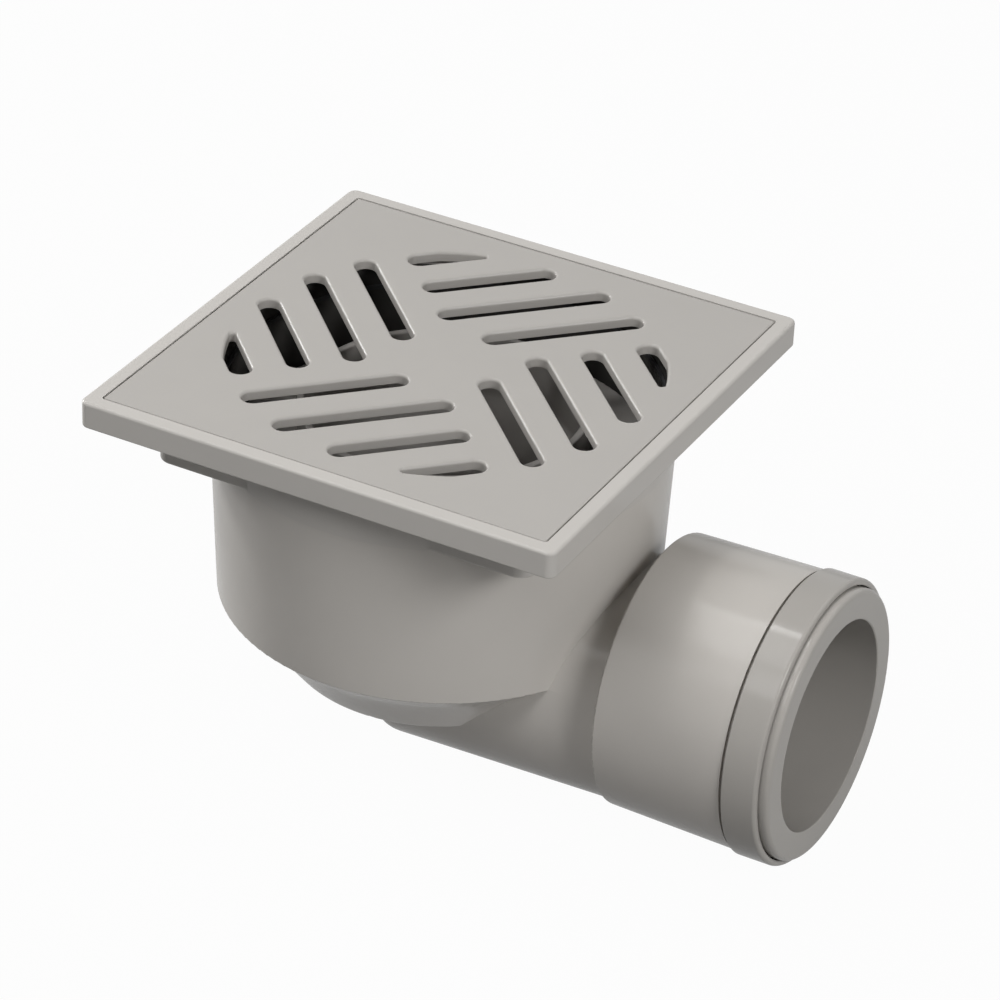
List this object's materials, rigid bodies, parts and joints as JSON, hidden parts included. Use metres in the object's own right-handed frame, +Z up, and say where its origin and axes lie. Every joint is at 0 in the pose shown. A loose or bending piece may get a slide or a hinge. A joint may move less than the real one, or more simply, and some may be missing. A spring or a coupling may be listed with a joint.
{
  "type": "gully trap",
  "caption": "Square floor gully trap with a slotted lift-out grate, a round water-seal bowl and a low side outlet socket.",
  "frame": {"origin": "centre of the grate's top face, at finished floor level", "axes": "+X along the outlet and out of its socket, +Z up"},
  "size_m": [0.1618, 0.12, 0.0983],
  "materials": {
    "frame_plastic": "satin warm grey moulding",
    "grate_plastic": "satin warm grey moulding",
    "body_plastic": "satin warm grey moulding",
    "bush_plastic": "satin warm grey moulding",
    "insert_plastic": "matt warm grey moulding",
    "seal_rubber": "matt black rubber"
  },
  "bodies": {
    "root": {"rim_frame": "frame_plastic", "grate": "grate_plastic", "trap_bowl": "body_plastic", "neck_gasket": "seal_rubber", "dip_funnel": "insert_plastic", "funnel_o_ring": "seal_rubber", "seal_cup": "insert_plastic", "outlet_bush": "bush_plastic", "bush_o_ring": "seal_rubber", "cap_ring": "bush_plastic"}
  },
  "joints": []
}
